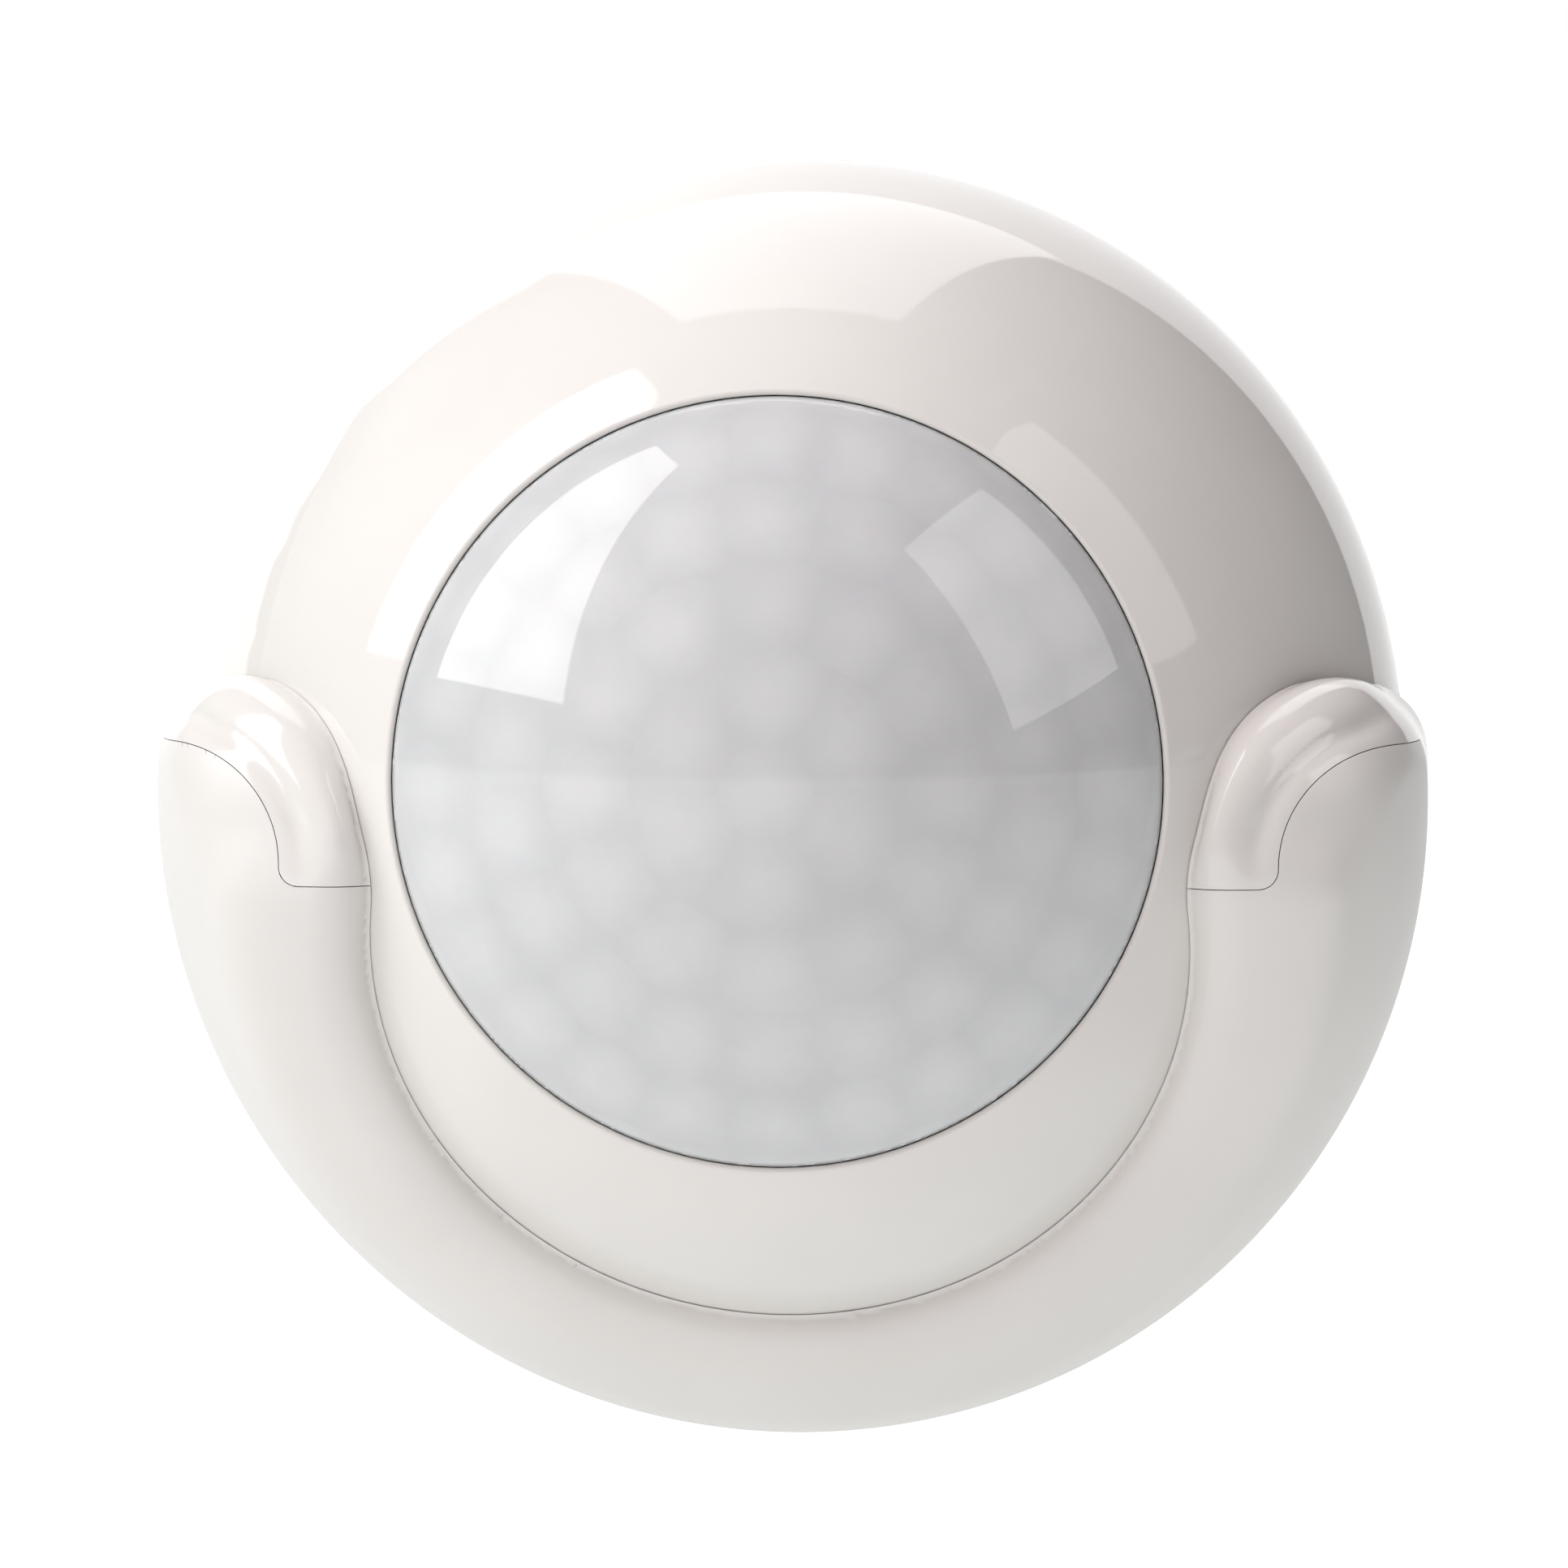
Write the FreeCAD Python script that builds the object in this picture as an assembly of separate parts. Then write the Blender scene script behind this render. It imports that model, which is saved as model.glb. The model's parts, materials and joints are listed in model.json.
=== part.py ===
"""Motion sensor: a round passive-infrared head held in a crescent cradle on a small wall plate.

Every piece is drawn in millimetres about the centre of the round head, +Z up, with the lens
facing -Y and +X on the viewer's right.  place() then moves it so that the part's origin is the
middle of the wall face.
"""
import FreeCAD, Part
import math
import os

from FreeCAD import Vector

# ---- driving dimensions (mm) -------------------------------------------------------------
BALL_R = 30.6            # outside of the round head
SHELL_WALL = 2.0
PARTING_Y = 0.8          # joint between the front and rear shells
PARTING_BEVEL = 0.15     # small bevel on both shells along that joint
BEZEL_ROUND = 0.2        # round on the bezel's edge round the lens opening
FLANGE_R = 20.7          # lens flange, held behind the bezel
FLANGE_Y = -21.5
FLANGE_T = 1.0
LENS_OPENING_R = 19.12
LENS_R = 18.9
LENS_DOME_R = 24.9
LENS_WALL = 0.9
DOOR_R = 21.3            # twist-off battery door
DOOR_FLAT_Y = 26.0
DOOR_TURN = 33.0         # degrees from locked to released
CELL_R = 8.5             # CR123A cell, 17 x 34.5
CELL_BODY = 33.2
CELL_Y = 11.5            # cell's axis behind the head's centre
BOARD_FRONT_Y = -2.3
BOARD_T = 1.6
BOARD_R = 25.5
PIN_R = 1.5              # tilt pivots
PIN_FIT = 0.05
CAVITY_R = 30.9          # inside of the cradle
LEAN = 21.3              # the crescent's axis points this far below the lens axis
CREST_A = 24.6           # crescent's front plane, measured along the leaning axis
PART_A = 10.3            # cover and yoke meet in this plane across the leaning axis
SEAM_Z = -5.3            # lower end of the glossy hoods
SEAM_GAP = 0.12
WALL_Y = 38.0            # wall face behind the head's centre
NECK_Z = -18.0           # middle of the neck and of the wall plate
PLATE_R = 16.0
NECK_TURN = 35.0         # degrees from locked on the wall plate to released
HOLE_X = 11.5            # wall screws, each side of the middle
HOLE_R = 1.8

SHELL_IN_R = BALL_R - SHELL_WALL
BOARD_REAR_Y = BOARD_FRONT_Y + BOARD_T
SHELL_SCREWS = [(17.2, 17.2), (-17.2, 17.2), (-17.2, -17.2), (17.2, -17.2)]
BOARD_SCREWS = [(12.0, 19.5), (-12.0, 19.5), (0.0, -22.8)]
BUTTON_Y = 4.1
EAST = Vector(1, 0, 0)
BACK = Vector(0, 1, 0)
UP = Vector(0, 0, 1)
ORIGIN = Vector(0, 0, 0)


# ---- helpers -----------------------------------------------------------------------------
def ball(radius, x=0.0, y=0.0, z=0.0):
    """Full sphere about a point."""
    return Part.makeSphere(radius, Vector(x, y, z))


def rod_y(radius, y0, y1, x=0.0, z=0.0):
    """Round bar along Y."""
    return Part.makeCylinder(radius, y1 - y0, Vector(x, y0, z), BACK)


def rod_x(radius, x0, x1, y=0.0, z=0.0):
    """Round bar along X."""
    return Part.makeCylinder(radius, x1 - x0, Vector(x0, y, z), EAST)


def rod_z(radius, z0, z1, x=0.0, y=0.0):
    """Round bar along Z."""
    return Part.makeCylinder(radius, z1 - z0, Vector(x, y, z0), UP)


def block(x0, x1, y0, y1, z0, z1):
    """Box between two corners."""
    return Part.makeBox(x1 - x0, y1 - y0, z1 - z0, Vector(x0, y0, z0))


def half(side, y, reach=60.0):
    """Half space in front of (-1) or behind (+1) the plane at y, as a big box."""
    low = y - 2 * reach if side < 0 else y
    return block(-reach, reach, low, low + 2 * reach, -reach, reach)


def segment(a, b):
    return Part.makeLine(Vector(a[0], a[1], 0), Vector(b[0], b[1], 0))


def arc(a, mid, b):
    points = [Vector(p[0], p[1], 0) for p in (a, mid, b)]
    return Part.Arc(*points).toShape()


def circle_arc(centre, radius, start, end):
    """Arc given by its centre, radius and two angles in degrees."""
    turns = [math.radians(t) for t in (start, (start + end) / 2, end)]
    points = [(centre[0] + radius * math.cos(t), centre[1] + radius * math.sin(t)) for t in turns]
    return arc(*points)


def lathe(edges):
    """Solid turned about the Y axis from a closed profile drawn as (radius, y)."""
    face = Part.Face(Part.Wire(edges))
    return face.revolve(ORIGIN, BACK, 360)


def polyline(points):
    closed = points + points[:1]
    return [segment(a, b) for a, b in zip(closed, closed[1:])]


def ring_y(inner, outer, y0, y1, x=0.0, z=0.0):
    return rod_y(outer, y0, y1, x, z).cut(rod_y(inner, y0 - 1, y1 + 1, x, z))


def sector(inner, outer, y0, y1, centre, width, z=0.0):
    """Part of a flat ring about a Y axis at height z: centre angle and width in degrees."""
    whole = ring_y(inner, outer, y0, y1)
    wedge = Part.makeCylinder(outer + 5, y1 - y0 + 2, Vector(0, y0 - 1, 0), BACK, width)
    wedge.rotate(ORIGIN, BACK, centre - width / 2)
    piece = whole.common(wedge)
    piece.translate(Vector(0, 0, z))
    return piece


def sphere_depth(radius, off_axis):
    """Distance along the axis from a sphere's centre to its surface at an off-axis radius."""
    return math.sqrt(radius ** 2 - off_axis ** 2)


def place(name, shape):
    """Move a piece into the part's frame, whose origin is the middle of the wall face."""
    moved = shape.copy()
    moved.translate(Vector(0, -WALL_Y, -NECK_Z))
    moved.exportStep("parts/%s.step" % name)


# ---- round head: shells and lens ---------------------------------------------------------
def pivot_seats():
    """Round blocks inside the head, one each side, that hold the pivot bushes."""
    return rod_x(4.3, 24.2, 29.4).fuse(rod_x(4.3, -29.4, -24.2))


def pivot_bores():
    """Bores for the bushes and the shallow outside pockets for the friction washers."""
    cuts = rod_x(2.5, 25.4, 31)
    cuts = cuts.fuse(rod_x(2.5, -31, -25.4))
    cuts = cuts.fuse(rod_x(3.5, 29.6, 32))
    return cuts.fuse(rod_x(3.5, -32, -29.6))


def parting_groove():
    """Shallow V round the outside of the head where the two shells meet."""
    top = BALL_R + 0.1
    reach = PARTING_BEVEL + 0.1
    corners = [(BALL_R - PARTING_BEVEL, PARTING_Y), (top, PARTING_Y - reach), (top, PARTING_Y + reach)]
    return lathe(polyline(corners))


def front_shell():
    """Bezel half of the head, with the lens opening, the lens seat and the screw bosses."""
    outside = ball(BALL_R)
    shell = outside.cut(ball(SHELL_IN_R)).fuse(pivot_seats().common(outside))
    shell = shell.common(half(-1, PARTING_Y)).cut(pivot_bores())
    for x, z in SHELL_SCREWS:
        boss = rod_y(2.8, -18, -1.0, x, z).common(ball(BALL_R - 0.8))
        shell = shell.fuse(boss).cut(rod_y(0.85, -12, 0, x, z))
    for x, z in BOARD_SCREWS:
        boss = rod_y(2.2, -19, BOARD_FRONT_Y, x, z).common(ball(BALL_R - 0.8))
        shell = shell.fuse(boss).cut(rod_y(0.8, -10, 0, x, z))
    shell = shell.cut(rod_y(LENS_OPENING_R, -40, -15))
    shell = shell.cut(rod_y(FLANGE_R + 0.2, FLANGE_Y - 0.1, -16))
    return round_opening(shell.cut(parting_groove()).removeSplitter())


def round_opening(shell):
    """Round the bezel's outer edge round the lens opening."""
    depth = sphere_depth(BALL_R, LENS_OPENING_R)
    for edge in shell.Edges:
        box = edge.BoundBox
        on_rim = abs(box.YMin + depth) < 0.01 and abs(box.YMax + depth) < 0.01
        if on_rim and box.XLength > 2 * LENS_OPENING_R - 0.1:
            return shell.makeFillet(BEZEL_ROUND, [edge])
    return shell


def fresnel_lens():
    """Domed lens with a straight rim and a flange that sits behind the bezel."""
    rim_y = -sphere_depth(BALL_R, LENS_OPENING_R)
    back_y = FLANGE_Y + FLANGE_T
    centre = rim_y + sphere_depth(LENS_DOME_R, LENS_R)
    inner_dome = LENS_DOME_R - LENS_WALL
    inner_r = LENS_R - LENS_WALL
    inner_y = centre - sphere_depth(inner_dome, inner_r)
    half_turn = math.asin(LENS_R / LENS_DOME_R) / 2
    inner_turn = math.asin(inner_r / inner_dome) / 2
    outer_mid = (LENS_DOME_R * math.sin(half_turn), centre - LENS_DOME_R * math.cos(half_turn))
    inner_mid = (inner_dome * math.sin(inner_turn), centre - inner_dome * math.cos(inner_turn))
    edges = [
        arc((0, centre - LENS_DOME_R), outer_mid, (LENS_R, rim_y)),
        segment((LENS_R, rim_y), (LENS_R, FLANGE_Y)),
        segment((LENS_R, FLANGE_Y), (FLANGE_R, FLANGE_Y)),
        segment((FLANGE_R, FLANGE_Y), (FLANGE_R, back_y)),
        segment((FLANGE_R, back_y), (inner_r, back_y)),
        segment((inner_r, back_y), (inner_r, inner_y)),
        arc((inner_r, inner_y), inner_mid, (0, centre - inner_dome)),
        segment((0, centre - inner_dome), (0, centre - LENS_DOME_R)),
    ]
    return lathe(edges)


def lens_retainer():
    """Ring behind the lens flange, with four tabs that grip the seat."""
    ring = ring_y(17.4, 20.5, -20.5, -19.0)
    for turn in range(4):
        ring = ring.fuse(sector(20.0, 20.9, -20.5, -19.4, 90 * turn + 45, 24))
    return ring.removeSplitter()


def rear_shell():
    """Back half of the head: bosses, door seat with bayonet ledge, hole for the button."""
    outside = ball(BALL_R)
    shell = outside.cut(ball(SHELL_IN_R)).fuse(pivot_seats().common(outside))
    shell = shell.common(half(1, PARTING_Y)).cut(pivot_bores())
    shell = shell.cut(rod_y(19.8, 17, 40))
    shell = shell.fuse(ring_y(19.8, 22.3, 18.4, 20.0))
    shell = shell.cut(rod_y(DOOR_R + 0.2, 20.0, 40))
    for x, z in SHELL_SCREWS:
        boss = rod_y(2.8, -1.0, 20, x, z).common(ball(BALL_R - 0.8))
        shell = shell.fuse(boss)
        shell = shell.cut(rod_y(1.2, -2, 30, x, z)).cut(rod_y(2.1, 12.0, 30, x, z))
    for turn in range(3):
        shell = shell.cut(sector(19.0, 21.1, 18.0, 20.5, 120 * turn + DOOR_TURN, 34))
    shell = shell.cut(rod_z(2.4, 24, 32, 0, BUTTON_Y)).cut(parting_groove())
    return shell.removeSplitter()


def battery_door():
    """Twist-off round door: spherical outside with a flat, skirt with three bayonet lugs."""
    rim_y = sphere_depth(BALL_R, DOOR_R)
    flat_r = sphere_depth(BALL_R, DOOR_FLAT_Y)
    bend = math.radians(90) - (math.asin(rim_y / BALL_R) + math.asin(DOOR_FLAT_Y / BALL_R)) / 2
    mid = (BALL_R * math.sin(bend), BALL_R * math.cos(bend))
    edges = [
        segment((0, DOOR_FLAT_Y), (flat_r, DOOR_FLAT_Y)),
        arc((flat_r, DOOR_FLAT_Y), mid, (DOOR_R, rim_y)),
        segment((DOOR_R, rim_y), (DOOR_R, 20.1)),
        segment((DOOR_R, 20.1), (19.5, 20.1)),
        segment((19.5, 20.1), (19.5, 17.0)),
        segment((19.5, 17.0), (18.3, 17.0)),
        segment((18.3, 17.0), (18.3, 21.6)),
        segment((18.3, 21.6), (14.5, 24.2)),
        segment((14.5, 24.2), (0, 24.2)),
        segment((0, 24.2), (0, DOOR_FLAT_Y)),
    ]
    door = lathe(edges)
    for turn in range(3):
        door = door.fuse(sector(18.8, 20.8, 17.0, 18.25, 120 * turn, 28))
    coin_slot = block(-7.5, 7.5, DOOR_FLAT_Y - 1.1, DOOR_FLAT_Y + 1, -1.1, 1.1)
    return door.cut(coin_slot).removeSplitter()


def screw(x, z, head_y, tip_y, shaft_r, head_r, head_t):
    """Pan-head screw along Y with a cross recess, head towards +Y."""
    body = rod_y(shaft_r, tip_y, head_y, x, z).fuse(rod_y(head_r, head_y, head_y + head_t, x, z))
    long_bar = block(x - head_r * 0.62, x + head_r * 0.62, head_y + head_t * 0.4,
                     head_y + head_t + 1, z - 0.2, z + 0.2)
    tall_bar = block(x - 0.2, x + 0.2, head_y + head_t * 0.4, head_y + head_t + 1,
                     z - head_r * 0.62, z + head_r * 0.62)
    return body.cut(long_bar).cut(tall_bar)


def shell_screws():
    return Part.makeCompound([screw(x, z, 12.0, -9.0, 0.85, 1.9, 1.3) for x, z in SHELL_SCREWS])


def board_screws():
    return Part.makeCompound([screw(x, z, BOARD_REAR_Y, -8.0, 0.8, 1.6, 1.1) for x, z in BOARD_SCREWS])


# ---- inside the head ---------------------------------------------------------------------
def main_board():
    """Round circuit board, clipped at the sides for the pivots and notched for the bosses."""
    board = rod_y(BOARD_R, BOARD_FRONT_Y, BOARD_REAR_Y)
    board = board.common(block(-22.6, 22.6, -5, 5, -30, 30))
    for x, z in SHELL_SCREWS:
        board = board.cut(rod_y(3.3, -5, 5, x, z))
    for x, z in BOARD_SCREWS:
        board = board.cut(rod_y(0.95, -5, 5, x, z))
    for x, z in pir_leads():
        board = board.cut(rod_y(0.35, -5, 5, x, z))
    return board


def pir_leads():
    turns = [math.radians(t) for t in (90, 210, 330)]
    return [(2.54 * math.cos(t), 2.54 * math.sin(t)) for t in turns]


def pir_collar():
    return ring_y(3.4, 6.0, BOARD_FRONT_Y - 2.6, BOARD_FRONT_Y)


def pir_sensor():
    """Metal can of the infrared detector with its window opening and three leads."""
    base = BOARD_FRONT_Y - 2.6
    can = rod_y(4.6, base - 0.4, base).fuse(rod_y(4.1, base - 4.0, base))
    can = can.cut(block(-2.0, 2.0, base - 5, base - 3.6, -1.5, 1.5))
    for x, z in pir_leads():
        can = can.fuse(rod_y(0.25, base - 0.2, BOARD_REAR_Y, x, z))
    return can


def pir_window():
    base = BOARD_FRONT_Y - 2.6
    return block(-2.0, 2.0, base - 3.95, base - 3.6, -1.5, 1.5)


def status_led():
    """Small round indicator with a domed tip, seen glowing through the lens."""
    tip = BOARD_FRONT_Y - 3.2
    return rod_y(1.5, tip, BOARD_FRONT_Y, 8, 12).fuse(ball(1.5, 8, tip, 12)).removeSplitter()


def light_sensor():
    return rod_y(1.5, BOARD_FRONT_Y - 2.8, BOARD_FRONT_Y, -8, 12)


def capacitor():
    can = rod_y(3.15, BOARD_FRONT_Y - 5.8, BOARD_FRONT_Y - 0.3, 12, -9)
    return can.fuse(block(8.8, 15.2, BOARD_FRONT_Y - 0.8, BOARD_FRONT_Y, -12.2, -5.8)).removeSplitter()


def control_chip():
    return block(-14.5, -7.5, BOARD_FRONT_Y - 0.9, BOARD_FRONT_Y, -9.5, -2.5)


def wifi_module():
    return block(-12, 12, BOARD_REAR_Y, BOARD_REAR_Y + 0.8, -8, 8)


def wifi_shield():
    lid = block(-11, 4.5, BOARD_REAR_Y + 0.8, BOARD_REAR_Y + 2.9, -6.5, 6.5)
    return lid.makeFillet(0.4, [e for e in lid.Edges if e.BoundBox.YLength > 1])


def pairing_switch():
    """Push switch standing on the board, its plunger pointing up."""
    body = block(-3, 3, BOARD_REAR_Y, BOARD_REAR_Y + 7, 20.0, 23.5)
    return body.fuse(rod_z(1.6, 23.5, 24.8, 0, BUTTON_Y))


def pairing_button():
    """Button flush with the top of the rear shell, with a collar that keeps it in."""
    stem = rod_z(2.2, 25.3, 32, 0, BUTTON_Y).common(ball(BALL_R - 0.1))
    return stem.fuse(rod_z(2.9, 26.2, 27.1, 0, BUTTON_Y)).removeSplitter()


def battery_tray():
    """Open trough for the cell, standing on the board on four feet."""
    tray = block(-21.2, 21.2, 3.0, 14.0, -10.2, 10.2)
    tray = tray.cut(rod_x(CELL_R + 0.25, -19.95, 19.95, CELL_Y))
    tray = tray.cut(block(-19.95, 19.95, CELL_Y, 20, -CELL_R - 0.25, CELL_R + 0.25))
    for side in (-1, 1):
        slot_x = side * 19.7
        tray = tray.cut(block(slot_x - 0.3, slot_x + 0.3, -1, 5, -1.3, 1.3))
        for z in (-8.6, 8.6):
            tray = tray.fuse(rod_y(1.4, BOARD_REAR_Y, 3.2, side * 14.5, z))
    return tray.removeSplitter()


def battery_cell():
    """Lithium cell lying across the head, with its raised terminal on the right."""
    body = rod_x(CELL_R, -16.2, -16.2 + CELL_BODY, CELL_Y)
    ends = [e for e in body.Edges if e.BoundBox.XLength < 0.01]
    body = body.makeFillet(0.7, ends)
    return body.fuse(rod_x(3.1, -16.2 + CELL_BODY - 0.5, -16.2 + CELL_BODY + 1.3, CELL_Y)).removeSplitter()


def contact_plate(side):
    """Flat spring-steel contact at one end of the cell, with a leg down to the board."""
    x0 = min(side * 19.5, side * 19.9)
    plate = block(x0, x0 + 0.4, 5.0, 16.6, -5.0, 5.0)
    return plate.fuse(block(x0, x0 + 0.4, BOARD_REAR_Y, 5.2, -1.0, 1.0)).removeSplitter()


def contact_positive():
    """Right-hand contact with a pressed dimple that meets the cell's terminal."""
    dimple = Part.makeCone(1.6, 2.6, 1.4, Vector(18.3, CELL_Y, 0), EAST)
    return contact_plate(1).fuse(dimple).removeSplitter()


def contact_spring():
    """Conical coil of eight-sided wire between the left-hand contact and the cell's flat end."""
    wire_r = 0.3
    small_x, wide_x, turns = -16.5, -19.2, 3
    small_r, rise = 2.8, small_x - wide_x
    widening = math.degrees(math.atan2(1.7, rise))
    helix = Part.makeHelix(rise / turns, rise, small_r, widening)
    corners = []
    for step in range(9):
        turn = math.radians(45 * step)
        corners.append(Vector(small_r + wire_r * math.cos(turn), 0, wire_r * math.sin(turn)))
    coil = Part.Wire(helix.Edges).makePipeShell([Part.makePolygon(corners)], True, True)
    coil.rotate(ORIGIN, BACK, -90)
    coil.translate(Vector(small_x, CELL_Y, 0))
    return coil


# ---- tilt pivots -------------------------------------------------------------------------
def pivot_bush(side):
    """Plain bush held between the two shells."""
    low, high = (25.4, 29.6) if side > 0 else (-29.6, -25.4)
    bush = rod_x(2.5, low, high)
    bore = (25.8, 30) if side > 0 else (-30, -25.8)
    return bush.cut(rod_x(PIN_R + PIN_FIT, *bore))


def pivot_pin(side):
    """Plain pin pressed into the yoke arm, its inner end turning in the bush."""
    ends = (26.1, 31.4) if side > 0 else (-31.4, -26.1)
    return rod_x(PIN_R, *ends)


def friction_washer(side):
    """Rubber washer squeezed between the head and the arm, which holds the tilt."""
    ends = (29.65, 30.25) if side > 0 else (-30.25, -29.65)
    return rod_x(3.2, *ends).cut(rod_x(PIN_R + 0.15, -32, 32))


# ---- cradle ------------------------------------------------------------------------------
def leaning(shape):
    """Turn a shape drawn with its axis along +Z so that the axis leans forward and down."""
    turned = shape.copy()
    turned.rotate(ORIGIN, EAST, 90 + LEAN)
    return turned


def slab(low, high, reach=80.0):
    """Everything between two planes across the leaning axis."""
    return leaning(block(-reach, reach, -reach, reach, low, high))


def stretched_ball(across, along, upward):
    """Sphere stretched to three half widths, along X, Y and Z."""
    stretch = FreeCAD.Matrix()
    stretch.scale(across, along, upward)
    return ball(1.0).transformGeometry(stretch)


def egg():
    """Outside of the crescent: a leaning egg, blunt in front and long behind."""
    wide, tall, front, rear = 32.1, 34.0, 23.4, 70.0
    centre_up, centre_a = 2.41, 10.33
    nose = stretched_ball(wide, tall, front).common(block(-90, 90, -90, 90, 0, 90))
    tail = stretched_ball(wide, tall, rear).common(block(-90, 90, -90, 90, -90, 0))
    whole = nose.fuse(tail)
    whole.translate(Vector(0, centre_up, centre_a))
    return leaning(whole)


def is_crest_edge(edge):
    """True for the outer edge of the crescent's front plane."""
    if edge.Degenerated or edge.Length < 1:
        return False
    lean = math.radians(LEAN)
    heights = [-p.y * math.cos(lean) - p.z * math.sin(lean) for p in edge.discretize(9)]
    return all(abs(height - CREST_A) < 0.01 for height in heights)


def bead_cutter():
    """Turned tool that leaves a quarter-round bead along the inner edge of the crescent."""
    bead_r = 2.8
    centre = (22.8, CREST_A - bead_r)
    edges = [
        segment((0, centre[1]), (centre[0] - bead_r, centre[1])),
        circle_arc(centre, bead_r, 180, 90),
        segment((centre[0], CREST_A), (centre[0], 60)),
        segment((centre[0], 60), (0, 60)),
        segment((0, 60), (0, centre[1])),
    ]
    tool = lathe(edges)
    tool.rotate(ORIGIN, EAST, 90)
    return leaning(tool)


ARM_CORNER = (-14.3, -4.9)   # (y, z) centre of the arm's front corner in the side view
ARM_CORNER_R = 9.5
ARM_HEEL = (2.0, -1.6)       # centre of its rear corner
ARM_HEEL_R = 6.0
BOWL_REAR = (24.0, -11.0)    # where the bowl's rim reaches the neck
HOOD_W = 4.7                 # width of the glossy hood round the tongue


def across(points_and_arcs, half_width=40.0):
    """Prism across X from a closed side profile drawn as (y, z)."""
    face = Part.Face(Part.Wire(points_and_arcs))
    prism = face.extrude(Vector(0, 0, 2 * half_width))
    prism.translate(Vector(0, 0, -half_width))
    prism.rotate(ORIGIN, Vector(1, 1, 1), 120)
    return prism


def side_profile():
    """Side view of the whole cradle: leaning front, round arm corners, sloping bowl rim."""
    lean = math.radians(LEAN)
    start = (ARM_CORNER[0] - ARM_CORNER_R * math.cos(lean), ARM_CORNER[1] - ARM_CORNER_R * math.sin(lean))
    below = (start[0] + 60 * math.sin(lean), start[1] - 60 * math.cos(lean))
    crown = (ARM_CORNER[0], ARM_CORNER[1] + ARM_CORNER_R)
    heel_top = (ARM_HEEL[0], ARM_HEEL[1] + ARM_HEEL_R)
    heel_back = (ARM_HEEL[0] + ARM_HEEL_R, ARM_HEEL[1])
    return across([
        segment(below, start),
        circle_arc(ARM_CORNER, ARM_CORNER_R, 180 + LEAN, 90),
        segment(crown, heel_top),
        circle_arc(ARM_HEEL, ARM_HEEL_R, 90, 0),
        segment(heel_back, (heel_back[0], heel_back[1] - 3)),
        segment((heel_back[0], heel_back[1] - 3), BOWL_REAR),
        segment(BOWL_REAR, (45, BOWL_REAR[1])),
        segment((45, BOWL_REAR[1]), (45, below[1])),
        segment((45, below[1]), below),
    ])


def tongue_profile(clearance):
    """Side view of the cover's tongue, which rises inside the glossy hood."""
    radius = ARM_CORNER_R - HOOD_W - clearance
    foot_y = ARM_CORNER[0] - radius
    return across([
        segment((foot_y, SEAM_Z - 3), (foot_y, ARM_CORNER[1])),
        circle_arc(ARM_CORNER, radius, 180, 90),
        segment((ARM_CORNER[0], ARM_CORNER[1] + radius), (0, ARM_CORNER[1] + radius)),
        segment((0, ARM_CORNER[1] + radius), (0, SEAM_Z - 3)),
        segment((0, SEAM_Z - 3), (foot_y, SEAM_Z - 3)),
    ])


def arm_tip_profile():
    """Front view of the cradle as a prism along Y, which rounds the arm tips outside."""
    half_width, corner_r, top = 32.6, 4.0, ARM_CORNER[1] + ARM_CORNER_R
    right = (half_width - 1.0 - corner_r, top - corner_r)
    left = (-right[0], right[1])
    foot = 60
    wire = Part.Wire([
        segment((-half_width + 1.0, right[1]), (-foot, -4)),
        segment((-foot, -4), (-foot, -foot)),
        segment((-foot, -foot), (foot, -foot)),
        segment((foot, -foot), (foot, -4)),
        segment((foot, -4), (half_width - 1.0, right[1])),
        circle_arc(right, corner_r, 0, 90),
        segment((right[0], top), (left[0], top)),
        circle_arc(left, corner_r, 90, 180),
    ])
    prism = Part.Face(wire).extrude(Vector(0, 0, 120))
    prism.translate(Vector(0, 0, -60))
    prism.rotate(ORIGIN, EAST, 90)
    return prism


def crescent():
    """Whole cradle before it is split: leaning egg, seat behind, bead round the opening."""
    body = egg().common(slab(-8, CREST_A))
    body = body.makeFillet(3.5, [e for e in body.Edges if is_crest_edge(e)])
    seat = stretched_ball(31.6, 32.6, 33.4).common(slab(-90, PART_A - 4))
    body = body.fuse(seat).cut(bead_cutter())
    body = body.common(side_profile()).common(arm_tip_profile())
    return body.common(half(-1, 31.0))


def cover_zone(clearance):
    """Room taken by the cover: the crescent's front below the seam, and the two tongues."""
    below = slab(PART_A - clearance, 90).common(block(-60, 60, -60, 60, -60, SEAM_Z + clearance))
    tongues = tongue_profile(-clearance).common(slab(PART_A - clearance, 90))
    tongues = tongues.cut(ball(31.9 - clearance))
    return below.fuse(tongues)


def cradle_cover(body):
    """Satin crescent in front, with a tongue running up each arm."""
    return body.common(cover_zone(0.0)).cut(ball(CAVITY_R)).removeSplitter()


def neck():
    """Stub behind the bowl that takes the wall plate's hub."""
    return rod_y(10.5, 8, 33.0, 0, NECK_Z)


def neck_socket():
    """Bore in the neck: round mouth, wider chamber, three slots for the hub's lugs."""
    cut = rod_y(6.9, 30.2, 34, 0, NECK_Z).fuse(rod_y(8.1, 30.2, 31.8, 0, NECK_Z))
    for turn in range(3):
        cut = cut.fuse(sector(5.0, 8.1, 30.2, 34, 120 * turn + NECK_TURN, 34, NECK_Z))
    return cut


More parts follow.
